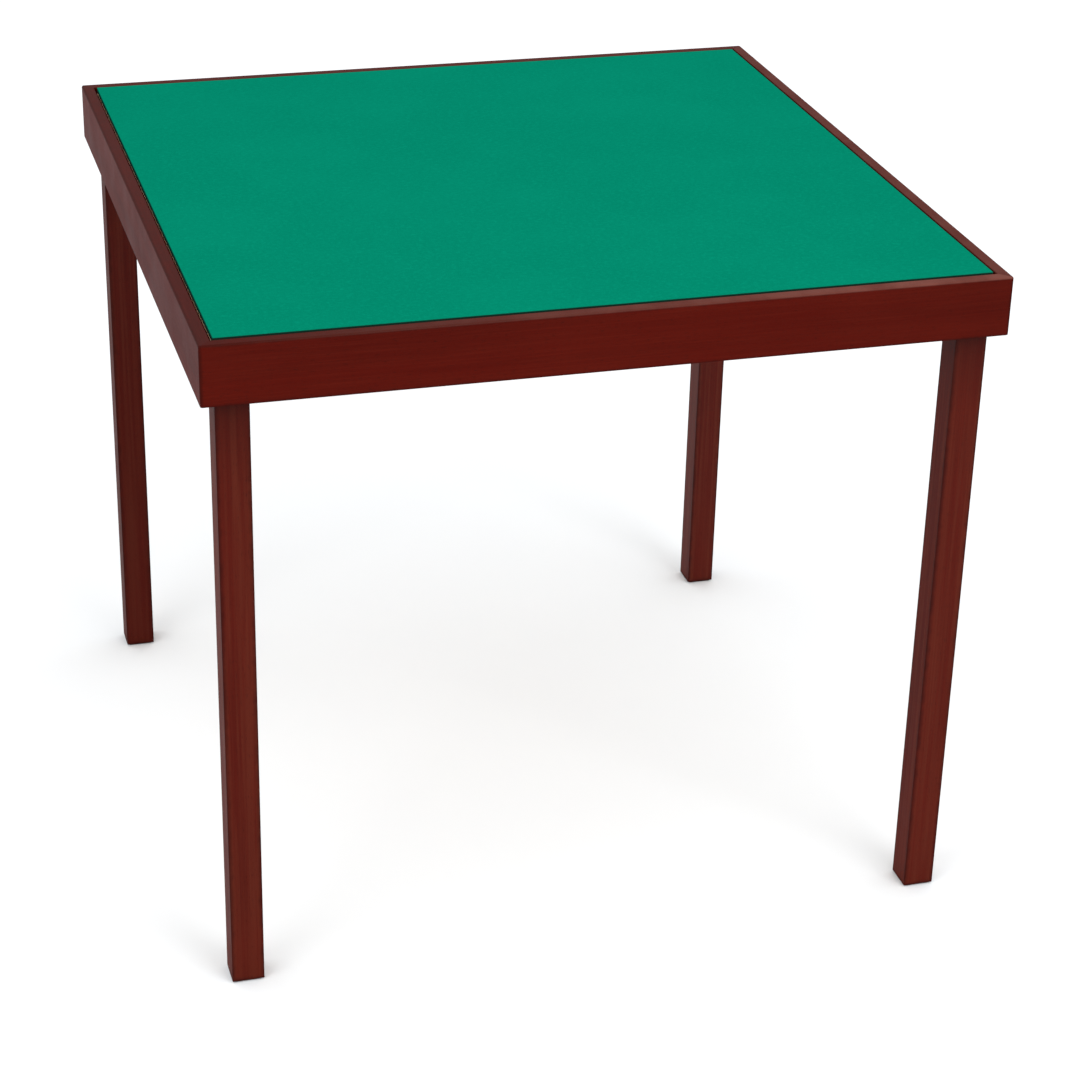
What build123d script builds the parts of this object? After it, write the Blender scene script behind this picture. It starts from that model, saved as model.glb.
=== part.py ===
"""A square folding card table: a framed baize top on four legs that fold inside the frame.

Millimetres, Z up, the origin on the floor under the middle of the top. Each corner holds one leg in a
steel bracket. The legs fold round like a pinwheel, each along the apron to its right as seen from outside,
so every corner piece is made once for the front left corner and turned by a quarter turn for the next.
"""

import os

from build123d import *

os.makedirs("parts", exist_ok=True)

# ---- the whole table ----
table_width = 800.0
table_height = 710.0
quarter_turn = 90
sides = ["front", "right", "back", "left"]
corners = ["front_left", "front_right", "back_right", "back_left"]

# ---- the aprons, four boards mitred into a frame, rebated round the top to leave a shadow gap ----
rim_drop = 1.0
apron_height = 61.0
apron_thickness = 15.0
apron_corner_radius = 2.5
apron_top_edge_radius = 2.0
apron_inner_edge_radius = 0.8
apron_bottom_edge_radius = 1.0
rebate_width = 2.5
rebate_depth = 5.0
apron_top = table_height - rim_drop
apron_bottom = apron_top - apron_height
inner_width = table_width - 2 * apron_thickness
inner_half = inner_width / 2

# ---- the top: baize glued on a plywood panel and turned down over its edges ----
baize_thickness = 1.4
baize_edge_thickness = 1.0
baize_turn_down = 4.0
baize_gap = 0.5
baize_corner_radius = 2.0
panel_thickness = 6.0
panel_top = table_height - baize_thickness
panel_bottom = panel_top - panel_thickness
baize_width = inner_width - 2 * baize_gap
panel_width = baize_width - 2 * baize_edge_thickness
baize_edge_length = panel_width - 2 * baize_corner_radius

# ---- what carries the panel: ledgers, corner gussets and crossed battens ----
ledger_width = 12.0
ledger_thickness = 9.0
ledger_half_length = 255.0
ledger_edge_radius = 1.0
gusset_reach = 128.0
gusset_bottom = panel_bottom - ledger_thickness
batten_width = 40.0
batten_thickness = 11.0
batten_edge_radius = 1.5
batten_half_length = inner_half - ledger_width
batten_bottom = panel_bottom - batten_thickness
half_lap_gap = 0.1

# ---- the legs ----
leg_width = 33.0
leg_half = leg_width / 2
leg_edge_radius = 1.2
leg_side_gap = 0.3
leg_top_gap = 1.0
glide_thickness = 2.0
glide_width = 29.0
glide_corner_radius = 3.0
glide_edge_radius = 0.5

# ---- the brackets, each bent from steel sheet over the top of a leg ----
sheet_thickness = 2.0
bracket_half_length = 15.0
bracket_tail_length = 66.0
bracket_bend_radius = 1.0
bracket_tail_inset = 16.0
cheek_depth = 17.0
cheek_corner_radius = 6.0
tail_corner_radius = 4.0
pocket_gap = 0.3
cheek_inside = leg_half + leg_side_gap
cheek_outside = cheek_inside + sheet_thickness

# ---- where the pivot of the front left leg is ----
pivot_x = -inner_half + leg_side_gap + leg_half
pivot_y = -inner_half + leg_side_gap + leg_half
web_top_height = leg_half + leg_top_gap + sheet_thickness
web_bottom_height = leg_half + leg_top_gap
pivot_z = gusset_bottom - web_top_height
leg_length_below_pivot = pivot_z - glide_thickness

# ---- the pivot bolt, its nut in the apron, its washer and the bush in the leg ----
bolt_radius = 3.95
bolt_hole_radius = 4.2
bolt_head_across_flats = 13.0
bolt_head_height = 5.3
bolt_head_edge = 0.5
washer_radius = 8.0
washer_thickness = 1.6
nut_height = 6.5
nut_bore_radius = 4.0
nut_pocket_radius = 7.7
nut_pocket_depth = 8.5
bolt_past_nut = 0.8
bush_bore_radius = 4.04
bush_outer_radius = 5.95
bush_hole_radius = 6.0

# ---- the lock: a sprung leaf on the bracket carries a peg into a hole in the leg ----
lock_offset = 10.5
lock_hole_radius = 3.2
lock_hole_depth = 8.0
cheek_peg_hole_radius = 3.4
leaf_thickness = 0.6
leaf_end_radius = 6.0
leaf_corner_radius = 2.0
leaf_end = 64.0
leaf_peg_hole_radius = 3.02
peg_radius = 3.0
peg_reach = 5.0
peg_tip_chamfer = 0.6
peg_neck_radius = 4.2
peg_neck_length = 6.6
peg_head_radius = 6.0
peg_head_length = 5.0
peg_head_edge_radius = 1.0
rivet_positions = [51.0, 59.0]
rivet_radius = 1.6
rivet_sink_radius = 2.8
rivet_head_radius = 2.8
rivet_head_height = 1.2
rivet_crown_radius = 1.4

# ---- the wear plate let into the leg round the pivot ----
plate_thickness = 1.2
plate_half_width = 15.0
plate_depth = 19.0
plate_bush_hole_radius = 6.2
plate_pin_heights = [11.0, -15.5]
plate_pin_radius = 1.3
plate_pin_head_radius = 2.2
plate_pin_head_depth = 0.9
plate_pin_length = 12.0

# ---- the countersunk wood screws ----
screw_radius = 1.75
screw_head_radius = 3.5
screw_sink_radius = 3.6
screw_head_depth = 1.75
screw_tip_length = 3.0
screw_tip_radius = 0.4
screw_slot_width = 0.8
screw_slot_length = 4.4
screw_slot_depth = 0.9
hole_clearance = 0.1
pilot_radius = screw_radius + hole_clearance
bracket_screw_spots = [(-8.0, -8.0), (-8.0, 8.0), (30.0, -8.0), (30.0, 8.0), (56.0, -8.0), (56.0, 8.0)]
bracket_screw_length = 10.5
cheek_screw_spots = [(-9.5, -10.5), (9.5, -10.5)]
cheek_screw_length = 10.0
gusset_screw_spots = [(-275.0, -375.0), (-375.0, -275.0), (-332.0, -332.0)]
ledger_to_panel_spots = [-140.0, 140.0]
panel_screw_length = 13.0
ledger_to_apron_spots = [-200.0, -70.0, 70.0, 200.0]
ledger_screw_length = 20.0
batten_screw_spots = [-300.0, -130.0, 130.0, 300.0]
batten_screw_length = 15.0


def across_leg(distance_inward):
    """An upright plane across the front left leg, at the pivot, facing the front apron."""
    return Plane(
        origin=(pivot_x, pivot_y + distance_inward, pivot_z),
        x_dir=(1, 0, 0),
        z_dir=(0, -1, 0),
    )


def from_inside(distance_inward):
    """The same upright plane facing the middle of the table."""
    return Plane(
        origin=(pivot_x, pivot_y + distance_inward, pivot_z),
        x_dir=(-1, 0, 0),
        z_dir=(0, 1, 0),
    )


def turned(piece, turns):
    """A copy of a piece, turned about the middle of the table by quarter turns."""
    with BuildPart() as copy:
        add(piece.part, rotation=(0, 0, turns * quarter_turn))
    return copy


def on_all_corners(piece):
    """Four copies of a piece, one for each corner or side, as a group of solids."""
    with BuildPart() as group:
        for turns in range(len(corners)):
            add(piece.part, rotation=(0, 0, turns * quarter_turn))
    return group


def save(piece, name):
    """Label a finished piece and write it out under its own name."""
    piece.part.label = name
    export_step(piece.part, f"parts/{name}.step")


def wood_screws(starts, drive, length):
    """Countersunk screws with flush heads at the starts, all driven the same way."""
    back = Vector(*drive) * -1
    with BuildPart() as screws:
        for start in starts:
            head_plane = Plane(origin=start, z_dir=back)
            with BuildSketch(head_plane):
                Circle(screw_head_radius)
            with BuildSketch(head_plane.offset(-screw_head_depth)):
                Circle(screw_radius)
            loft()
            with BuildSketch(head_plane.offset(-screw_head_depth)):
                Circle(screw_radius)
            extrude(amount=-(length - screw_head_depth - screw_tip_length))
            with BuildSketch(head_plane.offset(-(length - screw_tip_length))):
                Circle(screw_radius)
            with BuildSketch(head_plane.offset(-length)):
                Circle(screw_tip_radius)
            loft()
            with BuildSketch(head_plane):
                Rectangle(screw_slot_length, screw_slot_width)
                Rectangle(screw_slot_width, screw_slot_length)
            extrude(amount=-screw_slot_depth, mode=Mode.SUBTRACT)
    return screws


# ---- aprons: a rounded square ring, cut down to one side along its two mitres ----
with BuildPart() as apron:
    with BuildSketch(Plane.XY.offset(apron_bottom)):
        RectangleRounded(table_width, table_width, apron_corner_radius)
        Rectangle(inner_width, inner_width, mode=Mode.SUBTRACT)
    extrude(amount=apron_height)
    with BuildSketch(Plane.XY.offset(apron_top)):
        Rectangle(inner_width + 2 * rebate_width, inner_width + 2 * rebate_width)
    extrude(amount=-rebate_depth, mode=Mode.SUBTRACT)
    ring_top = apron.faces().sort_by(Axis.Z)[-1]
    fillet(ring_top.outer_wire().edges(), apron_top_edge_radius)
    ring_top = apron.faces().sort_by(Axis.Z)[-1]
    fillet(ring_top.inner_wires()[0].edges(), apron_inner_edge_radius)
    ring_bottom = apron.faces().sort_by(Axis.Z)[0]
    fillet(ring_bottom.outer_wire().edges(), apron_bottom_edge_radius)
    with BuildSketch(Plane.XY.offset(apron_bottom)):
        with BuildLine():
            Polyline(
                (0, 0),
                (-table_width / 2, -table_width / 2),
                (table_width / 2, -table_width / 2),
                close=True,
            )
        make_face()
    extrude(amount=apron_height, mode=Mode.INTERSECT)
    # a shallow pocket takes the bracket's outer cheek
    pocket_half = bracket_half_length + pocket_gap
    pocket_top = web_top_height + pocket_gap
    pocket_bottom = -cheek_depth - pocket_gap
    with BuildSketch(across_leg(-cheek_inside)):
        with Locations((0, (pocket_top + pocket_bottom) / 2)):
            Rectangle(2 * pocket_half, pocket_top - pocket_bottom)
    extrude(amount=sheet_thickness, mode=Mode.SUBTRACT)
    # a blind hole behind it takes the nut
    with BuildSketch(across_leg(-cheek_outside)):
        Circle(nut_pocket_radius)
    extrude(amount=nut_pocket_depth, mode=Mode.SUBTRACT)
    # pilot holes for the cheek screws and the ledger screws
    with Locations(*[from_inside(-cheek_outside) * Pos(-u, w, 0) for u, w in cheek_screw_spots]):
        Hole(pilot_radius, depth=cheek_screw_length - sheet_thickness + hole_clearance)
    ledger_middle = panel_bottom - ledger_thickness / 2
    ledger_spots = [(x, -inner_half, ledger_middle) for x in ledger_to_apron_spots]
    with Locations(*[Plane(origin=spot, z_dir=(0, 1, 0)) for spot in ledger_spots]):
        Hole(pilot_radius, depth=ledger_screw_length - ledger_width + hole_clearance)

for turns, side in enumerate(sides):
    save(turned(apron, turns), f"apron_{side}")

# ---- the plywood panel, with pilot holes from below ----
ledger_line = -inner_half + ledger_width / 2
with BuildPart() as top_panel:
    with BuildSketch(Plane.XY.offset(panel_bottom)):
        Rectangle(panel_width, panel_width)
    extrude(amount=panel_thickness)
    panel_pilots = gusset_screw_spots + [(x, ledger_line) for x in ledger_to_panel_spots]
    pilot_depth = panel_screw_length - ledger_thickness + hole_clearance
    with BuildSketch(Plane.XY.offset(panel_bottom)):
        with PolarLocations(0, len(sides)):
            with Locations(*panel_pilots):
                Circle(pilot_radius)
        with Locations(*[(x, 0) for x in batten_screw_spots]):
            Circle(pilot_radius)
        with Locations(*[(0, y) for y in batten_screw_spots]):
            Circle(pilot_radius)
    extrude(amount=pilot_depth, mode=Mode.SUBTRACT)
save(top_panel, "top_panel")

# ---- the baize, flat on the panel, and its four edges turned down over the panel's ----
with BuildPart() as baize_cover:
    with BuildSketch(Plane.XY.offset(panel_top)):
        RectangleRounded(baize_width, baize_width, baize_corner_radius)
    extrude(amount=baize_thickness)
save(baize_cover, "baize_cover")

with BuildPart() as baize_edge:
    with BuildSketch(Plane.XY.offset(panel_top)):
        with Locations((0, -(panel_width + baize_edge_thickness) / 2)):
            Rectangle(baize_edge_length, baize_edge_thickness)
    extrude(amount=-baize_turn_down)
save(on_all_corners(baize_edge), "baize_edges")

# ---- ledgers along the inside of the aprons ----
with BuildPart() as ledger:
    with BuildSketch(Plane.XY.offset(gusset_bottom)):
        with Locations((0, ledger_line)):
            Rectangle(2 * ledger_half_length, ledger_width)
    extrude(amount=ledger_thickness)
    inner_edges = ledger.edges().filter_by(Axis.X).group_by(Axis.Y)[-1]
    fillet(inner_edges.sort_by(Axis.Z)[0], ledger_edge_radius)
    with Locations(*[Plane(origin=(x, ledger_line, gusset_bottom), z_dir=(0, 0, -1))
                     for x in ledger_to_panel_spots]):
        CounterSinkHole(pilot_radius, screw_sink_radius)
    with Locations(*[Plane(origin=(x, -batten_half_length, ledger_middle), z_dir=(0, 1, 0))
                     for x in ledger_to_apron_spots]):
        CounterSinkHole(pilot_radius, screw_sink_radius)

for turns, side in enumerate(sides):
    save(turned(ledger, turns), f"ledger_{side}")

# ---- corner gussets, which hold the brackets up ----
bracket_screw_starts = [
    (pivot_x + u, pivot_y + v, pivot_z + web_bottom_height) for u, v in bracket_screw_spots
]
with BuildPart() as gusset:
    near = -inner_half
    far = -inner_half + gusset_reach
    tip = -inner_half + ledger_width
    with BuildSketch(Plane.XY.offset(gusset_bottom)):
        with BuildLine():
            Polyline((near, near), (far, near), (far, tip), (tip, far), (near, far), close=True)
        make_face()
    extrude(amount=ledger_thickness)
    with Locations(*[Plane(origin=(x, y, gusset_bottom), z_dir=(0, 0, -1)) for x, y in gusset_screw_spots]):
        CounterSinkHole(pilot_radius, screw_sink_radius)
    with Locations(*[Plane(origin=(x, y, gusset_bottom), z_dir=(0, 0, -1))
                     for x, y, _ in bracket_screw_starts]):
        Hole(pilot_radius, depth=bracket_screw_length - sheet_thickness + hole_clearance)

for turns, corner in enumerate(corners):
    save(turned(gusset, turns), f"corner_gusset_{corner}")

# ---- crossed battens, half lapped where they meet ----
def make_batten(notch_bottom):
    """A batten along X, notched over half its thickness in the middle."""
    with BuildPart() as batten:
        with BuildSketch(Plane.XY.offset(batten_bottom)):
            Rectangle(2 * batten_half_length, batten_width)
        extrude(amount=batten_thickness)
        fillet(batten.edges().filter_by(Axis.X).group_by(Axis.Z)[0], batten_edge_radius)
        with BuildSketch(Plane.XY.offset(notch_bottom)):
            Rectangle(batten_width + 2 * half_lap_gap, batten_width)
        extrude(amount=batten_thickness / 2, mode=Mode.SUBTRACT)
        with Locations(*[Plane(origin=(x, 0, batten_bottom), z_dir=(0, 0, -1)) for x in batten_screw_spots]):
            CounterSinkHole(pilot_radius, screw_sink_radius)
    return batten


batten_along = make_batten(batten_bottom + batten_thickness / 2)
batten_across = turned(make_batten(batten_bottom), 1)
save(batten_along, "cross_batten_along")
save(batten_across, "cross_batten_across")

# ---- brackets: a channel over the leg, with a longer inner cheek that carries the lock ----
with BuildPart() as bracket:
    channel_end = Plane(
        origin=(pivot_x - bracket_half_length, pivot_y, pivot_z), x_dir=(0, 1, 0), z_dir=(1, 0, 0)
    )
    channel_middle = (web_top_height - cheek_depth) / 2
    with BuildSketch(channel_end):
        with Locations((0, channel_middle)):
            Rectangle(2 * cheek_outside, web_top_height + cheek_depth)
        with Locations((0, channel_middle - sheet_thickness)):
            Rectangle(2 * cheek_inside, web_top_height + cheek_depth, mode=Mode.SUBTRACT)
    extrude(amount=bracket_half_length + bracket_tail_length)
    bends = bracket.edges().filter_by(Axis.X).group_by(Axis.Z)
    fillet(bends[-2], bracket_bend_radius)
    bends = bracket.edges().filter_by(Axis.X).group_by(Axis.Z)
    fillet(bends[-1], bracket_bend_radius + sheet_thickness)
    # beyond the leg there is no outer cheek, and the web stops short of the apron
    tail_length = bracket_tail_length - bracket_half_length
    tail_middle = (bracket_tail_length + bracket_half_length) / 2
    cut_width = cheek_outside - bracket_tail_inset
    with BuildSketch(across_leg(-bracket_tail_inset)):
        with Locations((tail_middle, channel_middle)):
            Rectangle(tail_length, web_top_height + cheek_depth)
    extrude(amount=cut_width, mode=Mode.SUBTRACT)
    # the bolt holes
    with BuildSketch(across_leg(cheek_outside)):
        Circle(bolt_hole_radius)
    extrude(amount=2 * cheek_outside, mode=Mode.SUBTRACT)
    # the peg hole and the rivet holes of the inner cheek, sunk on the leg's side
    with BuildSketch(across_leg(cheek_outside)):
        with Locations((lock_offset, -lock_offset)):
            Circle(cheek_peg_hole_radius)
    extrude(amount=sheet_thickness, mode=Mode.SUBTRACT)
    with Locations(*[across_leg(cheek_inside) * Pos(u, -lock_offset, 0) for u in rivet_positions]):
        CounterSinkHole(rivet_radius, rivet_sink_radius, depth=sheet_thickness)
    # countersunk holes in the outer cheek and the web
    with Locations(*[from_inside(-cheek_inside) * Pos(-u, w, 0) for u, w in cheek_screw_spots]):
        CounterSinkHole(pilot_radius, screw_sink_radius, depth=sheet_thickness)
    with Locations(*[Plane(origin=spot, z_dir=(0, 0, -1)) for spot in bracket_screw_starts]):
        CounterSinkHole(pilot_radius, screw_sink_radius, depth=sheet_thickness)
    # rounded lower corners
    across = bracket.edges().filter_by(Axis.Y).group_by(Axis.Z)[0]
    leg_end_edges = across.group_by(Axis.X)
    fillet(leg_end_edges[0], cheek_corner_radius)
    across = bracket.edges().filter_by(Axis.Y).group_by(Axis.Z)[0]
    fillet(across.group_by(Axis.X)[-1], tail_corner_radius)

for turns, corner in enumerate(corners):
    save(turned(bracket, turns), f"leg_bracket_{corner}")

# ---- pivot bolts, washers and nuts ----
with BuildPart() as pivot_bolt:
    with BuildSketch(from_inside(cheek_outside + washer_thickness)):
        RegularPolygon(bolt_head_across_flats / 2, 6, major_radius=False)
    extrude(amount=bolt_head_height)
    chamfer(pivot_bolt.faces().sort_by(Axis.Y)[-1].edges(), bolt_head_edge)
    with BuildSketch(across_leg(cheek_outside + washer_thickness)):
        Circle(bolt_radius)
    extrude(amount=2 * cheek_outside + washer_thickness + nut_height + bolt_past_nut)
save(on_all_corners(pivot_bolt), "pivot_bolts")

with BuildPart() as pivot_washer:
    with BuildSketch(across_leg(cheek_outside + washer_thickness)):
        Circle(washer_radius)
        Circle(bolt_hole_radius, mode=Mode.SUBTRACT)
    extrude(amount=washer_thickness)
save(on_all_corners(pivot_washer), "pivot_washers")

with BuildPart() as pivot_nut:
    with BuildSketch(across_leg(-cheek_outside)):
        RegularPolygon(bolt_head_across_flats / 2, 6, major_radius=False)
        Circle(nut_bore_radius, mode=Mode.SUBTRACT)
    extrude(amount=nut_height)
save(on_all_corners(pivot_nut), "pivot_nuts")

# ---- the sprung leaves, their pegs and their rivets ----
with BuildPart() as lock_leaf:
    leaf_length = leaf_end - lock_offset
    with BuildSketch(across_leg(cheek_outside + leaf_thickness)):
        with Locations((lock_offset, -lock_offset)):
            Circle(leaf_end_radius)
        with Locations((lock_offset + leaf_length / 2, -lock_offset)):
            Rectangle(leaf_length, 2 * leaf_end_radius)
        with Locations((lock_offset, -lock_offset)):
            Circle(leaf_peg_hole_radius, mode=Mode.SUBTRACT)
        with Locations(*[(u, -lock_offset) for u in rivet_positions]):
            Circle(rivet_radius, mode=Mode.SUBTRACT)
    extrude(amount=leaf_thickness)
    fillet(lock_leaf.edges().filter_by(Axis.Y).group_by(Axis.X)[-1], leaf_corner_radius)

with BuildPart() as lock_peg:
    peg_tip = leg_half - peg_reach
    neck_start = cheek_outside + leaf_thickness
    with BuildSketch(across_leg(neck_start)):
        with Locations((lock_offset, -lock_offset)):
            Circle(peg_radius)
    extrude(amount=neck_start - peg_tip)
    chamfer(lock_peg.faces().sort_by(Axis.Y)[0].edges(), peg_tip_chamfer)
    with BuildSketch(from_inside(neck_start)):
        with Locations((-lock_offset, -lock_offset)):
            Circle(peg_neck_radius)
    extrude(amount=peg_neck_length)
    with BuildSketch(from_inside(neck_start + peg_neck_length)):
        with Locations((-lock_offset, -lock_offset)):
            Circle(peg_head_radius)
    extrude(amount=peg_head_length)
    fillet(lock_peg.faces().sort_by(Axis.Y)[-1].edges(), peg_head_edge_radius)

for turns, corner in enumerate(corners):
    save(turned(lock_leaf, turns), f"lock_leaf_{corner}")
    save(turned(lock_peg, turns), f"lock_peg_{corner}")

with BuildPart() as leaf_rivets:
    for u in rivet_positions:
        spot = Pos(u, -lock_offset, 0)
        with BuildSketch(across_leg(cheek_inside) * spot):
            Circle(rivet_sink_radius)
        with BuildSketch(across_leg(cheek_inside + rivet_sink_radius - rivet_radius) * spot):
            Circle(rivet_radius)
        loft()
        with BuildSketch(across_leg(cheek_outside + leaf_thickness) * spot):
            Circle(rivet_radius)
        extrude(amount=sheet_thickness + leaf_thickness - (rivet_sink_radius - rivet_radius))
        with BuildSketch(across_leg(cheek_outside + leaf_thickness + rivet_head_height) * spot):
            Circle(rivet_crown_radius)
        with BuildSketch(across_leg(cheek_outside + leaf_thickness) * spot):
            Circle(rivet_head_radius)
        loft()
save(on_all_corners(leaf_rivets), "leaf_rivets")

# ---- screws ----
save(on_all_corners(wood_screws(bracket_screw_starts, (0, 0, 1), bracket_screw_length)), "bracket_screws")

cheek_screw_starts = [(pivot_x + u, pivot_y - cheek_inside, pivot_z + w) for u, w in cheek_screw_spots]
save(on_all_corners(wood_screws(cheek_screw_starts, (0, -1, 0), cheek_screw_length)), "cheek_screws")

panel_screw_starts = [(x, y, gusset_bottom) for x, y in gusset_screw_spots]
panel_screw_starts += [(x, ledger_line, gusset_bottom) for x in ledger_to_panel_spots]
save(on_all_corners(wood_screws(panel_screw_starts, (0, 0, 1), panel_screw_length)), "panel_screws")

ledger_screw_starts = [(x, -batten_half_length, ledger_middle) for x in ledger_to_apron_spots]
save(on_all_corners(wood_screws(ledger_screw_starts, (0, -1, 0), ledger_screw_length)), "ledger_screws")

batten_screw_starts = [(x, 0, batten_bottom) for x in batten_screw_spots]
batten_screw_starts += [(0, y, batten_bottom) for y in batten_screw_spots]
save(wood_screws(batten_screw_starts, (0, 0, 1), batten_screw_length), "batten_screws")

# ---- legs: square, with the top rounded about the pivot ----
def draw_plate_outline():
    """The wear plate's outline about the pivot, drawn in the open sketch."""
    Circle(plate_half_width)
    with Locations((0, -plate_depth / 2)):
        Rectangle(2 * plate_half_width, plate_depth)


with BuildPart() as leg:
    with BuildSketch(across_leg(leg_half)):
        Circle(leg_half)
        with Locations((0, -leg_length_below_pivot / 2)):
            Rectangle(leg_width, leg_length_below_pivot)
    extrude(amount=leg_width)
    fillet(leg.edges().filter_by(Axis.Z), leg_edge_radius)
    with BuildSketch(across_leg(leg_half)):
        Circle(bush_hole_radius)
    extrude(amount=leg_width, mode=Mode.SUBTRACT)
    with BuildSketch(across_leg(leg_half)):
        draw_plate_outline()
    extrude(amount=plate_thickness, mode=Mode.SUBTRACT)
    with BuildSketch(across_leg(leg_half)):
        with Locations((lock_offset, -lock_offset), (-lock_offset, -lock_offset)):
            Circle(lock_hole_radius)
    extrude(amount=lock_hole_depth, mode=Mode.SUBTRACT)
    with BuildSketch(across_leg(leg_half)):
        with Locations(*[(0, height) for height in plate_pin_heights]):
            Circle(plate_pin_radius)
    extrude(amount=plate_pin_length + hole_clearance, mode=Mode.SUBTRACT)

with BuildPart() as leg_bush:
    with BuildSketch(across_leg(leg_half)):
        Circle(bush_outer_radius)
        Circle(bush_bore_radius, mode=Mode.SUBTRACT)
    extrude(amount=leg_width)

with BuildPart() as wear_plate:
    with BuildSketch(across_leg(leg_half)):
        draw_plate_outline()
        Circle(plate_bush_hole_radius, mode=Mode.SUBTRACT)
        with Locations((lock_offset, -lock_offset), (-lock_offset, -lock_offset)):
            Circle(lock_hole_radius, mode=Mode.SUBTRACT)
    extrude(amount=plate_thickness)
    with Locations(*[from_inside(leg_half) * Pos(0, height, 0) for height in plate_pin_heights]):
        CounterSinkHole(plate_pin_radius, plate_pin_head_radius, depth=plate_thickness)

with BuildPart() as plate_pins:
    for height in plate_pin_heights:
        spot = Pos(0, height, 0)
        with BuildSketch(across_leg(leg_half) * spot):
            Circle(plate_pin_head_radius)
        with BuildSketch(across_leg(leg_half - plate_pin_head_depth) * spot):
            Circle(plate_pin_radius)
        loft()
        with BuildSketch(across_leg(leg_half - plate_pin_head_depth) * spot):
            Circle(plate_pin_radius)
        extrude(amount=plate_pin_length - plate_pin_head_depth)

with BuildPart() as foot_glide:
    with BuildSketch(Plane(origin=(pivot_x, pivot_y, 0))):
        RectangleRounded(glide_width, glide_width, glide_corner_radius)
    extrude(amount=glide_thickness)
    fillet(foot_glide.faces().sort_by(Axis.Z)[0].edges(), glide_edge_radius)

for turns, corner in enumerate(corners):
    save(turned(leg, turns), f"leg_{corner}")
    save(turned(leg_bush, turns), f"leg_bush_{corner}")
    save(turned(wear_plate, turns), f"wear_plate_{corner}")
    save(turned(plate_pins, turns), f"plate_pins_{corner}")
    save(turned(foot_glide, turns), f"foot_glide_{corner}")
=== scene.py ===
"""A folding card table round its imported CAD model: the baize, the materials, the light and the camera.

Metres, Z up, the CAD model's own frame: the origin is on the floor under the middle of the top. The CAD
pieces keep their shapes and get materials here. The baize is the one soft piece, and is made as a mesh.
"""

import math

import bmesh
import bpy
from mathutils import Matrix, Vector, noise


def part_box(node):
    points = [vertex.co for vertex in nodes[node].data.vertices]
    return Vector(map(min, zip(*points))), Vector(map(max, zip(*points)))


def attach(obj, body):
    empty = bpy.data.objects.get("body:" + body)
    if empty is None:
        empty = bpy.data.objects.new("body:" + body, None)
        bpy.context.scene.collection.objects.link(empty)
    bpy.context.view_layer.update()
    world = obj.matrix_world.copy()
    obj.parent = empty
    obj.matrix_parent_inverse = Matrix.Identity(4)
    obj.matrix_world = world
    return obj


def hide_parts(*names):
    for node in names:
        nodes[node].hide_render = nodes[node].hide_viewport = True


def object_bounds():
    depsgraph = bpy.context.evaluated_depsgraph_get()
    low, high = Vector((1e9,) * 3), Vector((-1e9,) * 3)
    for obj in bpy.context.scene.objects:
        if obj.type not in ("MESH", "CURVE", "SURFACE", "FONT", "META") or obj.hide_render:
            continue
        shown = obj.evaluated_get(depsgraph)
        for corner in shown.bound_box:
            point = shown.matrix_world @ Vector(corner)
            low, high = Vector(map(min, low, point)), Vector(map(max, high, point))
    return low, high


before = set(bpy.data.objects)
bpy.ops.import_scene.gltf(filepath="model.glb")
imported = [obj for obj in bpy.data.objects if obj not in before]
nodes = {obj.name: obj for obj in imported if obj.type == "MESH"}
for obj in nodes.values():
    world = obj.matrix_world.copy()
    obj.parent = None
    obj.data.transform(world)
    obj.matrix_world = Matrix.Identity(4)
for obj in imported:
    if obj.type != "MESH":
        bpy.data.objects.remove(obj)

cad_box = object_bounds()
corners = ["front_left", "front_right", "back_right", "back_left"]
axes = {"x": 0, "y": 1, "z": 2}

# ---- colours, linear ----
MAHOGANY_DEEP = (0.046, 0.0016, 0.0005)
MAHOGANY_MAIN = (0.066, 0.0030, 0.0010)
MAHOGANY_LIGHT = (0.092, 0.0070, 0.0028)
MAHOGANY_BROWN = (0.088, 0.0150, 0.0070)
MAHOGANY_PORE = (0.020, 0.0020, 0.0012)
# dark stain, also the colour of the painted shade at the edges and at the far ends, and of the darker tops
MAHOGANY_STAIN_AND_SHADE = (0.022, 0.0020, 0.0012)
# pale wear, also the colour of the painted highlight on the tops
MAHOGANY_WORN_AND_HIGHLIGHT = (0.150, 0.0480, 0.0360)
BAIZE_DARK = (0.0001, 0.138, 0.080)
BAIZE_MAIN = (0.0003, 0.168, 0.099)
BAIZE_LIGHT = (0.0014, 0.212, 0.127)
# painted shade for the cloth's turned-down side
BAIZE_SIDE_SHADE = (0.006, 0.020, 0.014)
BAIZE_SHEEN = (0.02, 0.85, 0.60)
PLY_PALE = (0.560, 0.390, 0.225)
PLY_DARK = (0.380, 0.235, 0.120)
PLY_LINE = (0.200, 0.110, 0.050)
BEECH_PALE = (0.500, 0.330, 0.195)
BEECH_DARK = (0.360, 0.210, 0.110)
BEECH_FLECK = (0.230, 0.110, 0.050)
ZINC = (0.560, 0.565, 0.560)
ZINC_DULL = (0.350, 0.350, 0.345)
ZINC_TINT = (0.600, 0.560, 0.440)
SPRING = (0.120, 0.130, 0.155)
SPRING_BROWN = (0.190, 0.130, 0.090)
BRASS = (0.700, 0.470, 0.170)
BRASS_DULL = (0.420, 0.270, 0.100)
RUBBER = (0.018, 0.014, 0.013)
RUBBER_DUST = (0.070, 0.060, 0.052)
FLOOR_DARK = (0.813, 0.835, 0.852)
FLOOR_LIGHT = (0.829, 0.851, 0.868)

# ---- sizes that the materials go by, in metres ----
WORN_EDGE_REACH = 0.0007
TOP_STARTS_BELOW = 0.0025
TOP_FULL_BELOW = 0.0003
BEECH_EDGE_REACH = 0.0015
GLIDE_DUST_HEIGHT = 0.0012

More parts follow.
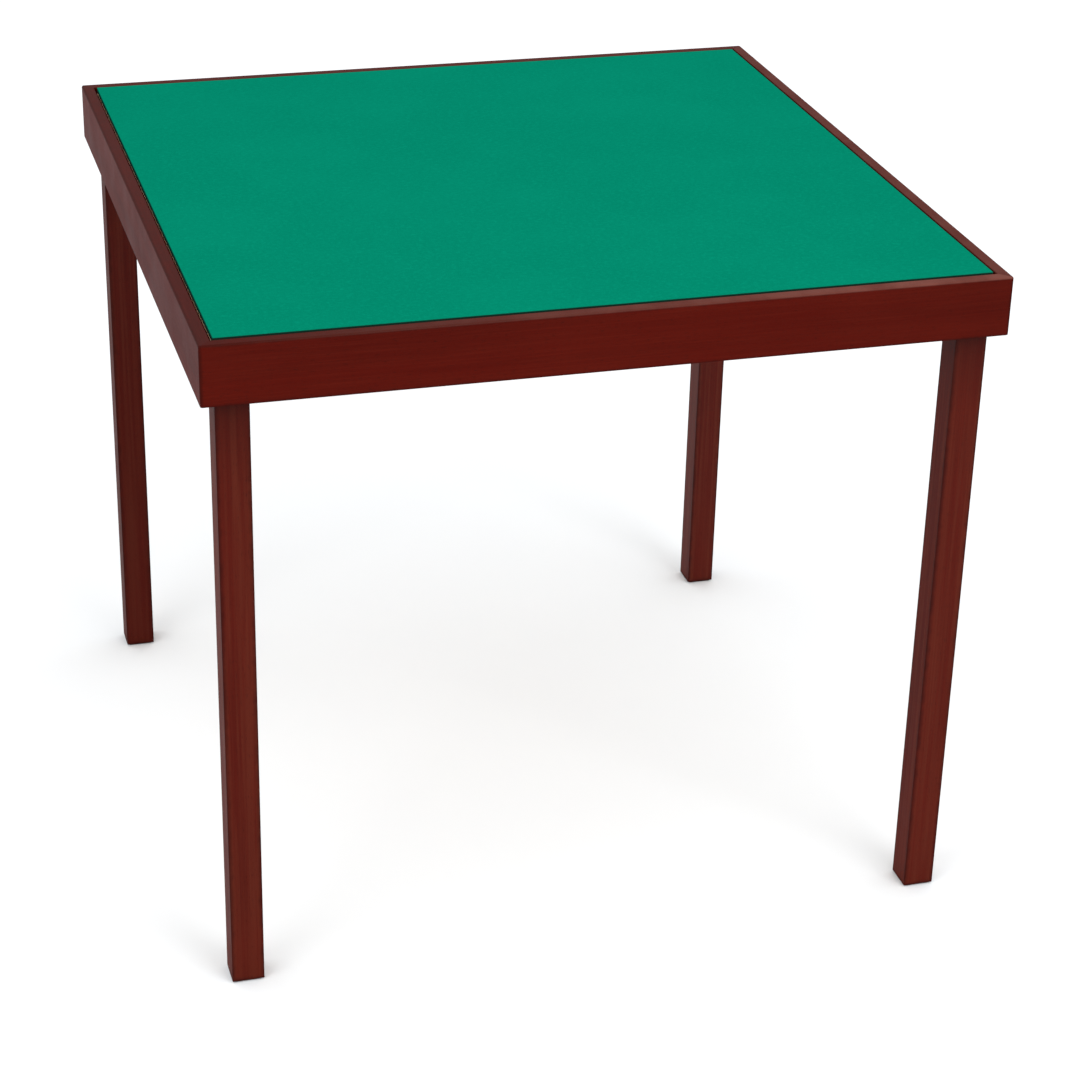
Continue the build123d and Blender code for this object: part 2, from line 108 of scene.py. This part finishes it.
# ---- the lacquer: its own index is low, and the clear coat gives the gloss ----
LACQUER_IOR = 1.015
LACQUER_COAT_ROUGHNESS = 0.22

# ---- a Mix node's sockets for colours, which stand after those for numbers and vectors ----
MIX_FACTOR = 0
MIX_FIRST = 6
MIX_SECOND = 7
MIX_RESULT = 2


# ---- node helpers ----
def start_material(name):
    """An empty node material with a Principled shader, and the object's own coordinates."""
    material = bpy.data.materials.new(name)
    material.use_nodes = True
    tree = material.node_tree
    tree.nodes.clear()
    output = tree.nodes.new("ShaderNodeOutputMaterial")
    shader = tree.nodes.new("ShaderNodeBsdfPrincipled")
    tree.links.new(shader.outputs["BSDF"], output.inputs["Surface"])
    place = tree.nodes.new("ShaderNodeTexCoord").outputs["Object"]
    return material, tree, shader, place


def feed(tree, socket, value):
    """Links a socket to another one, or sets it."""
    if isinstance(value, bpy.types.NodeSocket):
        tree.links.new(value, socket)
    elif socket.type == "RGBA":
        socket.default_value = (*value, 1.0)
    else:
        socket.default_value = value


def calc(tree, operation, *values):
    """The result of one Math node."""
    made = tree.nodes.new("ShaderNodeMath")
    made.operation = operation
    for socket, value in zip(made.inputs, values):
        feed(tree, socket, value)
    return made.outputs[0]


def stretched(tree, place, scale, offset=(0, 0, 0)):
    """The place, scaled and then moved."""
    made = tree.nodes.new("ShaderNodeMapping")
    feed(tree, made.inputs["Vector"], place)
    feed(tree, made.inputs["Scale"], scale)
    feed(tree, made.inputs["Location"], offset)
    return made.outputs[0]


def cloud(tree, place, scale, detail=3.0, roughness=0.5, distortion=0.0):
    """Even noise, with scale patterns to a metre."""
    made = tree.nodes.new("ShaderNodeTexNoise")
    feed(tree, made.inputs["Vector"], place)
    feed(tree, made.inputs["Scale"], scale)
    feed(tree, made.inputs["Detail"], detail)
    feed(tree, made.inputs["Roughness"], roughness)
    feed(tree, made.inputs["Distortion"], distortion)
    return made.outputs["Fac"]


def drawn_cloud(tree, place, scales, detail, roughness=0.5, distortion=0.0):
    """Noise with a scale of its own along each of X, Y and Z."""
    return cloud(tree, stretched(tree, place, scales), 1.0, detail, roughness, distortion)


def grain(tree, place, axis, along_scale, cross_scale, detail, roughness=0.5, distortion=0.0):
    """Noise drawn out along one axis, with a scale along it and another across it."""
    scales = [cross_scale] * 3
    scales[axes[axis]] = along_scale
    return drawn_cloud(tree, place, scales, detail, roughness, distortion)


def spread(tree, value, low, high, to_low=0.0, to_high=1.0, smooth=True):
    """Maps a value from one range to another, and holds it inside the second one."""
    made = tree.nodes.new("ShaderNodeMapRange")
    made.interpolation_type = "SMOOTHSTEP" if smooth else "LINEAR"
    names = ("Value", "From Min", "From Max", "To Min", "To Max")
    for name, part in zip(names, (value, low, high, to_low, to_high)):
        feed(tree, made.inputs[name], part)
    return made.outputs["Result"]


def blend_colours(tree, factor, first, second):
    """Goes from the first colour to the second as the factor goes from 0 to 1."""
    made = tree.nodes.new("ShaderNodeMix")
    made.data_type = "RGBA"
    feed(tree, made.inputs[MIX_FACTOR], factor)
    feed(tree, made.inputs[MIX_FIRST], first)
    feed(tree, made.inputs[MIX_SECOND], second)
    return made.outputs[MIX_RESULT]


def bumped(tree, height, distance, strength=1.0, under=None):
    """A normal bent by a height that is worth distance metres, over the normal under it if there is one."""
    made = tree.nodes.new("ShaderNodeBump")
    feed(tree, made.inputs["Height"], height)
    feed(tree, made.inputs["Distance"], distance)
    feed(tree, made.inputs["Strength"], strength)
    if under is not None:
        feed(tree, made.inputs["Normal"], under)
    return made.outputs["Normal"]


def xyz(tree, place):
    """The three parts of a vector."""
    made = tree.nodes.new("ShaderNodeSeparateXYZ")
    feed(tree, made.inputs[0], place)
    return made.outputs


def edge_depth(tree, place, low, high):
    """How far a point of the box from low to high is from its nearest edge, going round over the faces."""
    depths = []
    for value, a, b in zip(xyz(tree, place), low, high):
        from_middle = calc(tree, "ABSOLUTE", calc(tree, "SUBTRACT", value, (a + b) / 2))
        depths.append(calc(tree, "SUBTRACT", (b - a) / 2, from_middle))
    deepest = calc(tree, "MAXIMUM", calc(tree, "MAXIMUM", depths[0], depths[1]), depths[2])
    total = calc(tree, "ADD", calc(tree, "ADD", depths[0], depths[1]), depths[2])
    return calc(tree, "SUBTRACT", total, deepest)


def near_edge(tree, place, low, high, reach):
    """1 on the edges of the box from low to high, falling unevenly to 0 within reach of them."""
    uneven = calc(tree, "MULTIPLY", cloud(tree, place, 90.0), reach)
    depth = calc(tree, "ADD", edge_depth(tree, place, low, high), uneven)
    return spread(tree, depth, reach * 0.4, reach * 1.5, 1.0, 0.0)


# ---- materials ----
def lacquered_mahogany(
    name, axis, low, high, shift, brown, gloss, edge, darker_and_end_shade=(0, 0), reach=0.15, top_highlight=(0, 0)
):
    """Stained, satin lacquered wood: ribbon figure, fibre and short pores, with dark stain and painted shade
    gathered at the edges, painted shade towards one end, and a painted highlight along the top.

    axis is the way of the grain, low and high are the corners of the piece's box, and shift moves the
    pattern, so that no two pieces match. brown is how much of the browner figure shows, gloss is the weight
    of the lacquer, and edge is how far the dark edge colour reaches in from the edges: stain, with painted
    shade for the dark reflection on the rounded arrises and for the shade at a leg's foot.
    darker_and_end_shade is how much darker the piece is all along it, and how much painted shade it has at
    its far end, within reach of it. top_highlight is how strong a painted highlight on the top is at its
    near end and at its far end.
    """
    material, tree, shader, place = start_material(name)
    moved = stretched(tree, place, (1, 1, 1), shift)
    ribbon = grain(tree, moved, axis, 1.3, 26.0, 3.0, 0.5, 0.6)
    streak = grain(tree, moved, axis, 2.6, 170.0, 3.0, 0.55, 0.4)
    fibre = grain(tree, moved, axis, 10.0, 520.0, 4.0, 0.6)
    pore = grain(tree, moved, axis, 130.0, 1700.0, 2.0)
    pores = spread(tree, pore, 0.60, 0.70)
    mottle = cloud(tree, moved, 7.0)

    # the figure
    colour = blend_colours(tree, spread(tree, ribbon, 0.25, 0.75), MAHOGANY_DEEP, MAHOGANY_MAIN)
    light = calc(tree, "MULTIPLY", spread(tree, fibre, 0.42, 0.78), 0.45)
    colour = blend_colours(tree, light, colour, MAHOGANY_LIGHT)
    brown_streaks = calc(tree, "MULTIPLY", spread(tree, streak, 0.36, 0.66, 0.25, 1.0), brown)
    colour = blend_colours(tree, brown_streaks, colour, MAHOGANY_BROWN)
    colour = blend_colours(tree, calc(tree, "MULTIPLY", pores, 0.5), colour, MAHOGANY_PORE)
    patches = calc(tree, "MULTIPLY", spread(tree, mottle, 0.45, 0.8), 0.25)
    colour = blend_colours(tree, patches, colour, MAHOGANY_LIGHT)

    # the dark stain at the edges, which also paints the dark reflection on the rounded arrises and the shade
    # at a leg's foot, and the spots where the edges are worn
    stain_and_edge_shade = near_edge(tree, place, low, high, edge)
    colour = blend_colours(tree, calc(tree, "MULTIPLY", stain_and_edge_shade, 0.75), colour, MAHOGANY_STAIN_AND_SHADE)
    rubbed = near_edge(tree, place, low, high, WORN_EDGE_REACH)
    spots = spread(tree, cloud(tree, moved, 60.0, 4.0, 0.6), 0.56, 0.70)
    worn_and_highlight = calc(tree, "MULTIPLY", rubbed, spots)

    # painted shade towards the far end, at the top of a leg under the apron and at the right end of the front
    # apron, and darker all along by the first value
    near_end, far_end = low[axes[axis]], high[axes[axis]]
    place_along = xyz(tree, place)[axes[axis]]
    far_end_shade = spread(tree, place_along, far_end - reach, far_end, *darker_and_end_shade)
    colour = blend_colours(tree, far_end_shade, colour, MAHOGANY_STAIN_AND_SHADE)

    # the top of the piece: darker, with a painted highlight along it for the light that the top catches
    height = xyz(tree, place)[2]
    on_top = spread(tree, height, high.z - TOP_STARTS_BELOW, high.z - TOP_FULL_BELOW)
    uneven = spread(tree, cloud(tree, moved, 24.0, 3.0, 0.55), 0.25, 0.7, 0.55, 1.0)
    on_top = calc(tree, "MULTIPLY", on_top, uneven)
    colour = blend_colours(tree, calc(tree, "MULTIPLY", on_top, 0.6), colour, MAHOGANY_STAIN_AND_SHADE)
    top_highlight_along = spread(tree, place_along, near_end, far_end, *top_highlight, smooth=False)
    worn_and_highlight = calc(tree, "MAXIMUM", worn_and_highlight, calc(tree, "MULTIPLY", on_top, top_highlight_along))
    colour = blend_colours(tree, worn_and_highlight, colour, MAHOGANY_WORN_AND_HIGHLIGHT)
    feed(tree, shader.inputs["Base Color"], colour)

    # the lacquer
    smear = cloud(tree, moved, 13.0, 4.0, 0.6)
    rough = spread(tree, smear, 0.3, 0.7, 0.30, 0.42)
    rough = calc(tree, "ADD", rough, calc(tree, "MULTIPLY", pores, 0.12))
    feed(tree, shader.inputs["Roughness"], rough)
    feed(tree, shader.inputs["IOR"], LACQUER_IOR)
    feed(tree, shader.inputs["Coat Weight"], gloss)
    feed(tree, shader.inputs["Coat Roughness"], LACQUER_COAT_ROUGHNESS)
    waviness = cloud(tree, moved, 55.0, 2.0)
    normal = bumped(tree, waviness, 0.0004, 0.2)
    normal = bumped(tree, fibre, 0.00008, 0.4, normal)
    normal = bumped(tree, calc(tree, "MULTIPLY", pores, -1.0), 0.00012, 0.6, normal)
    feed(tree, shader.inputs["Normal"], normal)
    return material


def felted_baize(top, bend):
    """Wool baize: a matted short nap with loose fibres and faint brushed patches, with painted shade where it
    turns down into the gap by the rim.

    top is the height of the cloth's top, and bend is the radius with which it turns down at its edges.
    """
    material, tree, shader, place = start_material("baize")
    nap = cloud(tree, place, 1100.0, 4.0, 0.65)
    matted = drawn_cloud(tree, place, (210.0, 330.0, 300.0), 4.0, 0.62, 0.6)
    fibres = drawn_cloud(tree, place, (500.0, 1700.0, 900.0), 4.0, 0.6, 0.8)
    crossed = drawn_cloud(tree, place, (1700.0, 500.0, 900.0), 4.0, 0.6, 0.8)
    brushed = cloud(tree, place, 9.0, 4.0, 0.55)
    colour = blend_colours(tree, spread(tree, nap, 0.38, 0.62), BAIZE_DARK, BAIZE_MAIN)
    colour = blend_colours(tree, spread(tree, matted, 0.34, 0.50, 0.45, 0.0), colour, BAIZE_DARK)
    colour = blend_colours(tree, spread(tree, matted, 0.50, 0.68, 0.0, 0.40), colour, BAIZE_LIGHT)
    both = calc(tree, "MAXIMUM", fibres, crossed)
    loose = calc(tree, "MULTIPLY", spread(tree, both, 0.60, 0.78), 0.5)
    colour = blend_colours(tree, loose, colour, BAIZE_LIGHT)
    colour = blend_colours(tree, spread(tree, brushed, 0.35, 0.75, 0.0, 0.16), colour, BAIZE_LIGHT)
    # painted shade on the turned-down side, which stands in the shadow of the gap by the rim
    side = spread(tree, xyz(tree, place)[2], top - bend * 0.9, top - bend * 0.15, 1.0, 0.0)
    colour = blend_colours(tree, side, colour, BAIZE_SIDE_SHADE)
    feed(tree, shader.inputs["Base Color"], colour)
    feed(tree, shader.inputs["Roughness"], 1.0)
    feed(tree, shader.inputs["Specular IOR Level"], 0.0)
    feed(tree, shader.inputs["Sheen Weight"], 0.05)
    feed(tree, shader.inputs["Sheen Roughness"], 0.6)
    feed(tree, shader.inputs["Sheen Tint"], BAIZE_SHEEN)
    normal = bumped(tree, matted, 0.0005, 0.5)
    normal = bumped(tree, nap, 0.0003, 0.7, normal)
    normal = bumped(tree, both, 0.0003, 0.6, normal)
    feed(tree, shader.inputs["Normal"], normal)
    return material


def birch_plywood(name, low, high, plies):
    """Sanded plywood: rotary-cut figure on its faces and the lines between its plies on its edges."""
    material, tree, shader, place = start_material(name)
    figure = drawn_cloud(tree, place, (2.2, 16.0, 3.0), 4.0, 0.55, 1.4)
    fibre = drawn_cloud(tree, place, (26.0, 700.0, 60.0), 4.0, 0.6)
    colour = blend_colours(tree, spread(tree, figure, 0.35, 0.7), PLY_PALE, PLY_DARK)
    colour = blend_colours(tree, spread(tree, fibre, 0.4, 0.7, 0.0, 0.3), colour, PLY_DARK)
    height = calc(tree, "SUBTRACT", xyz(tree, place)[2], low.z)
    layer = calc(tree, "FRACT", calc(tree, "DIVIDE", height, (high.z - low.z) / plies))
    line = spread(tree, calc(tree, "ABSOLUTE", calc(tree, "SUBTRACT", layer, 0.5)), 0.36, 0.48)
    facing = xyz(tree, tree.nodes.new("ShaderNodeNewGeometry").outputs["Normal"])[2]
    on_edge = spread(tree, calc(tree, "ABSOLUTE", facing), 0.3, 0.7, 1.0, 0.0)
    line = calc(tree, "MULTIPLY", line, calc(tree, "MULTIPLY", on_edge, 0.75))
    colour = blend_colours(tree, line, colour, PLY_LINE)
    feed(tree, shader.inputs["Base Color"], colour)
    feed(tree, shader.inputs["Roughness"], spread(tree, fibre, 0.3, 0.7, 0.55, 0.75))
    feed(tree, shader.inputs["Normal"], bumped(tree, fibre, 0.00015, 0.6))
    return material


def planed_beech(name, axis, low, high, shift):
    """Planed beech: even pinkish wood with short dark flecks along the grain."""
    material, tree, shader, place = start_material(name)
    moved = stretched(tree, place, (1, 1, 1), shift)
    figure = grain(tree, moved, axis, 2.5, 40.0, 3.0, 0.5, 0.5)
    fleck = grain(tree, moved, axis, 260.0, 1300.0, 2.0)
    flecks = spread(tree, fleck, 0.60, 0.68)
    colour = blend_colours(tree, spread(tree, figure, 0.35, 0.7), BEECH_PALE, BEECH_DARK)
    colour = blend_colours(tree, calc(tree, "MULTIPLY", flecks, 0.6), colour, BEECH_FLECK)
    edge = near_edge(tree, place, low, high, BEECH_EDGE_REACH)
    colour = blend_colours(tree, calc(tree, "MULTIPLY", edge, 0.4), colour, BEECH_DARK)
    feed(tree, shader.inputs["Base Color"], colour)
    feed(tree, shader.inputs["Roughness"], spread(tree, figure, 0.3, 0.7, 0.5, 0.66))
    planed = grain(tree, moved, axis, 160.0, 12.0, 1.0)
    normal = bumped(tree, planed, 0.0002, 0.3)
    feed(tree, shader.inputs["Normal"], bumped(tree, flecks, 0.0001, 0.5, normal))
    return material


def plated_steel(name, scratch_axis):
    """Zinc plated sheet: cloudy crystals, a faint warm tint, rolled scratches and duller patches."""
    material, tree, shader, place = start_material(name)
    crystal = cloud(tree, place, 420.0, 2.0, 0.5, 0.5)
    dull = cloud(tree, place, 60.0, 4.0, 0.6)
    tint = cloud(tree, place, 35.0, 3.0, 0.5, 1.0)
    scratch = grain(tree, place, scratch_axis, 40.0, 3000.0, 3.0, 0.6)
    colour = blend_colours(tree, spread(tree, crystal, 0.3, 0.7, 0.0, 0.5), ZINC, ZINC_DULL)
    colour = blend_colours(tree, spread(tree, dull, 0.45, 0.75, 0.0, 0.7), colour, ZINC_DULL)
    colour = blend_colours(tree, spread(tree, tint, 0.4, 0.7, 0.0, 0.35), colour, ZINC_TINT)
    feed(tree, shader.inputs["Base Color"], colour)
    feed(tree, shader.inputs["Metallic"], 1.0)
    feed(tree, shader.inputs["Roughness"], spread(tree, dull, 0.3, 0.7, 0.30, 0.52))
    feed(tree, shader.inputs["Normal"], bumped(tree, scratch, 0.00003, 0.6))
    return material


def blued_spring():
    """Blued spring steel, browner in patches, with fine scratches."""
    material, tree, shader, place = start_material("spring_steel")
    patch = cloud(tree, place, 130.0, 3.0, 0.6)
    scratch = drawn_cloud(tree, place, (900.0, 900.0, 4000.0), 3.0, 0.6)
    colour = blend_colours(tree, spread(tree, patch, 0.4, 0.72), SPRING, SPRING_BROWN)
    feed(tree, shader.inputs["Base Color"], colour)
    feed(tree, shader.inputs["Metallic"], 1.0)
    feed(tree, shader.inputs["Roughness"], spread(tree, patch, 0.3, 0.7, 0.28, 0.42))
    feed(tree, shader.inputs["Normal"], bumped(tree, scratch, 0.00003, 0.5))
    return material


def turned_brass():
    """Turned brass, tarnished in patches, with fine tool marks."""
    material, tree, shader, place = start_material("turned_brass")
    tarnish = cloud(tree, place, 160.0, 4.0, 0.6)
    turning = cloud(tree, place, 2600.0, 2.0, 0.5)
    colour = blend_colours(tree, spread(tree, tarnish, 0.42, 0.72), BRASS, BRASS_DULL)
    feed(tree, shader.inputs["Base Color"], colour)
    feed(tree, shader.inputs["Metallic"], 1.0)
    feed(tree, shader.inputs["Roughness"], spread(tree, tarnish, 0.3, 0.7, 0.22, 0.42))
    feed(tree, shader.inputs["Normal"], bumped(tree, turning, 0.00003, 0.5))
    return material


def dusty_rubber():
    """Dark rubber, gritty, with dust where it meets the floor."""
    material, tree, shader, place = start_material("rubber")
    grit = cloud(tree, place, 900.0, 4.0, 0.6)
    height = xyz(tree, place)[2]
    low_dust = spread(tree, height, 0.0, GLIDE_DUST_HEIGHT, 0.8, 0.1)
    dust = calc(tree, "MULTIPLY", spread(tree, grit, 0.4, 0.7), low_dust)
    feed(tree, shader.inputs["Base Color"], blend_colours(tree, dust, RUBBER, RUBBER_DUST))
    feed(tree, shader.inputs["Roughness"], spread(tree, grit, 0.3, 0.7, 0.7, 0.95))
    feed(tree, shader.inputs["Normal"], bumped(tree, grit, 0.0001, 0.6))
    return material


def wear(node_names, material):
    """Gives CAD nodes a material in place of their plain one."""
    for name in node_names:
        slots = nodes[name].data.materials
        slots.clear()
        slots.append(material)


# ---- the baize, stretched over the panel and turned down over its edges ----
def make_baize():
    """The cloth: a rippled grid over the panel, then loops over the bend, down the side and round the hem."""
    panel_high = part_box("top_panel")[1]
    edges_low, edges_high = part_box("baize_edges")
    half = edges_high.x
    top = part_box("baize_cover")[1].z
    hem = edges_low.z
    thickness = half - panel_high.x
    bend = 0.001
    hem_bevel = 0.0003
    ripple_height = 0.00005
    ripple_drop = 0.00006
    ripples_to_a_metre = 14
    slack = 0.00008
    slack_waves_round = 220
    slack_waves_down = 900
    weld_distance = 0.00002
    sharp_from = math.radians(50)
    grid_steps = 120
    corner_steps = 6
    bend_steps = 6
    reach = half - bend
    spots = [-reach + 2 * reach * step / grid_steps for step in range(grid_steps + 1)]
    mesh = bmesh.new()

    def ripple(x, y):
        """How far the cloth's top is from flat. It stays just below the top of its CAD solid."""
        wave = noise.noise(Vector((x * ripples_to_a_metre, y * ripples_to_a_metre, 0.3)))
        return wave * ripple_height - ripple_drop

    rows = [[mesh.verts.new((x, y, top + ripple(x, y))) for x in spots] for y in spots]
    for lower, upper in zip(rows, rows[1:]):
        for index in range(grid_steps):
            mesh.faces.new((lower[index], lower[index + 1], upper[index + 1], upper[index]))

    def ring(inset, height):
        """A loop round the cover: four straight sides and four corner arcs, in from its edge by inset."""
        made = []
        for quarter in range(4):
            turn = Matrix.Rotation(math.radians(90 * quarter), 3, "Z")
            side = [Vector((x, -half + inset, 0)) for x in spots[:-1]]
            for step in range(corner_steps):
                angle = math.radians(90 * step / corner_steps - 90)
                arm = Vector((math.cos(angle), math.sin(angle), 0)) * (bend - inset)
                side.append(Vector((reach, -reach, 0)) + arm)
            for point in side:
                place = turn @ point
                wave = noise.noise(place * slack_waves_round + Vector((0, 0, height * slack_waves_down)))
                slack_here = slack * min(1, (top - height) / bend)
                place *= 1 - slack_here * abs(wave) / half
                place.z = height + (ripple(place.x, place.y) if height > top - bend else 0)
                made.append(mesh.verts.new(place))
        return made

    profile = []
    for step in range(bend_steps + 1):
        angle = math.radians(90 * step / bend_steps)
        profile.append((bend * (1 - math.sin(angle)), top - bend * (1 - math.cos(angle))))
    profile += [(0.0, (top - bend + hem) / 2), (0.0, hem + hem_bevel), (hem_bevel, hem)]
    profile += [(thickness, hem), (thickness, panel_high.z)]
    rings = [ring(inset, height) for inset, height in profile]
    for outer, inner in zip(rings, rings[1:]):
        for index in range(len(outer)):
            following = (index + 1) % len(outer)
            mesh.faces.new((outer[index], inner[index], inner[following], outer[following]))
    mesh.faces.new(rings[-1])
    bmesh.ops.remove_doubles(mesh, verts=mesh.verts, dist=weld_distance)
    bmesh.ops.recalc_face_normals(mesh, faces=mesh.faces)
    data = bpy.data.meshes.new("baize_sheet")
    mesh.to_mesh(data)
    mesh.free()
    data.shade_smooth()
    data.set_sharp_from_angle(angle=sharp_from)
    piece = bpy.data.objects.new("baize_sheet", data)
    bpy.context.scene.collection.objects.link(piece)
    data.materials.append(felted_baize(top, bend))
    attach(piece, "table_frame")
    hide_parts("baize_cover", "baize_edges")


make_baize()

# ---- the wooden pieces, each with its grain along its length ----
apron_grain = {"front": "x", "back": "x", "left": "y", "right": "y"}
apron_gloss = {"front": 0.060, "right": 0.060, "left": 0.084, "back": 0.060}
# painted shade towards the right end of the front apron
apron_end_shade = {"front": (0.0, 0.16), "right": (0.0, 0.0), "left": (0.0, 0.0), "back": (0.0, 0.0)}
# a painted highlight along each rim's top for the light it catches: strongest towards the right of the front,
# weakest on the left
top_highlights = {"front": (0.05, 1.0), "right": (0.45, 0.45), "left": (0.05, 0.05), "back": (0.2, 0.2)}
for index, (side, axis) in enumerate(apron_grain.items()):
    shift = (0.37 * index, 0.53 * index, 0.29 * index)
    looks = {"brown": 0.06, "gloss": apron_gloss[side], "edge": 0.0036, "top_highlight": top_highlights[side]}
    depth = {"darker_and_end_shade": apron_end_shade[side], "reach": 0.3}
    apron_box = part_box(f"apron_{side}")
    wood = lacquered_mahogany(f"apron_{side}_wood", axis, *apron_box, shift, **looks, **depth)
    wear([f"apron_{side}"], wood)
    wear([f"ledger_{side}"], planed_beech(f"ledger_{side}_wood", axis, *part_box(f"ledger_{side}"), shift))

leg_gloss = {"front_left": 0.10, "front_right": 0.115, "back_right": 0.17, "back_left": 0.10}
# painted shade at the top of each leg, under the apron; the back left leg is also darker all along
leg_darkening_and_end_shade = {
    "front_left": (0, 0.7),
    "front_right": (0, 0.75),
    "back_right": (0, 0.2),
    "back_left": (0.34, 0.7),
}
for index, corner in enumerate(corners):
    shift = (0.41 * index, 0.23 * index, 0.67 * index)
    looks = {"brown": 0.7, "gloss": leg_gloss[corner], "edge": 0.005, "darker_and_end_shade": leg_darkening_and_end_shade[corner]}
    wood = lacquered_mahogany(f"leg_{corner}_wood", "z", *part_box(f"leg_{corner}"), shift, **looks)
    wear([f"leg_{corner}"], wood)

batten_woods = {"along": ("x", (0.9, 0.1, 0)), "across": ("y", (0.2, 0.8, 0))}
for way, (axis, shift) in batten_woods.items():
    batten = f"cross_batten_{way}"
    wear([batten], planed_beech(f"batten_{way}_wood", axis, *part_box(batten), shift))

panel_plies = 5
gusset_plies = 7
wear(["top_panel"], birch_plywood("panel_plywood", *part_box("top_panel"), panel_plies))
gusset_wood = birch_plywood("gusset_plywood", *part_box("corner_gusset_front_left"), gusset_plies)
wear([f"corner_gusset_{corner}" for corner in corners], gusset_wood)

# ---- the metal and the rubber ----
plated_along_x = plated_steel("plated_steel_along_x", "x")
plated_along_y = plated_steel("plated_steel_along_y", "y")
fasteners = ["pivot_bolts", "pivot_washers", "pivot_nuts", "leaf_rivets", "bracket_screws"]
fasteners += ["cheek_screws", "panel_screws", "ledger_screws", "batten_screws"]
wear(fasteners, plated_along_x)
wear(["leg_bracket_front_left", "leg_bracket_back_right"], plated_along_x)
wear(["leg_bracket_front_right", "leg_bracket_back_left"], plated_along_y)
wear([f"wear_plate_{corner}" for corner in corners], plated_along_y)
wear([f"plate_pins_{corner}" for corner in corners], plated_along_y)
wear([f"lock_leaf_{corner}" for corner in corners], blued_spring())
brass = turned_brass()
wear([f"lock_peg_{corner}" for corner in corners], brass)
wear([f"leg_bush_{corner}" for corner in corners], brass)
wear([f"foot_glide_{corner}" for corner in corners], dusty_rubber())


# ---- the floor ----
def make_floor():
    """A wide, plain, pale floor, which is part of the stage and not of the table."""
    half = 30.0
    rim = [(-half, -half, 0), (half, -half, 0), (half, half, 0), (-half, half, 0)]
    data = bpy.data.meshes.new("floor")
    data.from_pydata(rim, [], [(0, 1, 2, 3)])
    floor = bpy.data.objects.new("floor", data)
    bpy.context.scene.collection.objects.link(floor)
    material, tree, shader, place = start_material("pale_floor")
    uneven = cloud(tree, place, 3.0)
    feed(tree, shader.inputs["Base Color"], blend_colours(tree, uneven, FLOOR_DARK, FLOOR_LIGHT))
    feed(tree, shader.inputs["Roughness"], 1.0)
    feed(tree, shader.inputs["Specular IOR Level"], 0.0)
    data.materials.append(material)


make_floor()


# ---- light: an even white room, and a soft box at each side in front ----
def soft_box(name, azimuth, elevation, distance, width, height, radiance):
    """A soft box turned to the middle of the top, seen from there at the azimuth and elevation in degrees.

    A flat lamp's power is its radiance times pi times its area.
    """
    target = Vector((0, 0, cad_box[1].z))
    around, up = math.radians(azimuth), math.radians(elevation)
    arm = Vector((math.cos(around) * math.cos(up), math.sin(around) * math.cos(up), math.sin(up)))
    light = bpy.data.lights.new(name, "AREA")
    light.shape = "RECTANGLE"
    light.size = width
    light.size_y = height
    light.energy = radiance * math.pi * width * height
    lamp = bpy.data.objects.new(name, light)
    lamp.location = target + arm * distance
    lamp.rotation_mode = "QUATERNION"
    lamp.rotation_quaternion = (-arm).to_track_quat("-Z", "Y")
    lamp.visible_camera = False
    bpy.context.scene.collection.objects.link(lamp)


def light_room(strength):
    """A white world of even brightness."""
    world = bpy.data.worlds.new("white_room")
    world.use_nodes = True
    background = world.node_tree.nodes["Background"]
    background.inputs["Color"].default_value = (1, 1, 1, 1)
    background.inputs["Strength"].default_value = strength
    bpy.context.scene.world = world


box_place = {"elevation": 34, "distance": 3.6, "width": 1.7, "height": 1.7}
soft_box("front_right_soft_box", azimuth=-68, radiance=4.4, **box_place)
soft_box("front_left_soft_box", azimuth=-142, radiance=2.5, **box_place)
light_room(strength=1.26)
bpy.context.scene.view_settings.view_transform = "Standard"

# ---- the camera, fitted to the corners of the top in the photo, with the legs upright ----
camera_place = (-0.7586, -2.7128, 1.6782)
camera_pitch = math.radians(63.532)
camera_yaw = math.radians(-16.473)
camera_roll = math.radians(1.451)
camera_data = bpy.data.cameras.new("camera")
camera_data.lens = 92.9
camera_data.sensor_width = 36.0
camera = bpy.data.objects.new("camera", camera_data)
turn = Matrix.Rotation(camera_yaw, 4, "Z") @ Matrix.Rotation(camera_pitch, 4, "X")
turn = turn @ Matrix.Rotation(camera_roll, 4, "Z")
camera.matrix_world = Matrix.Translation(camera_place) @ turn
bpy.context.scene.collection.objects.link(camera)
bpy.context.scene.camera = camera
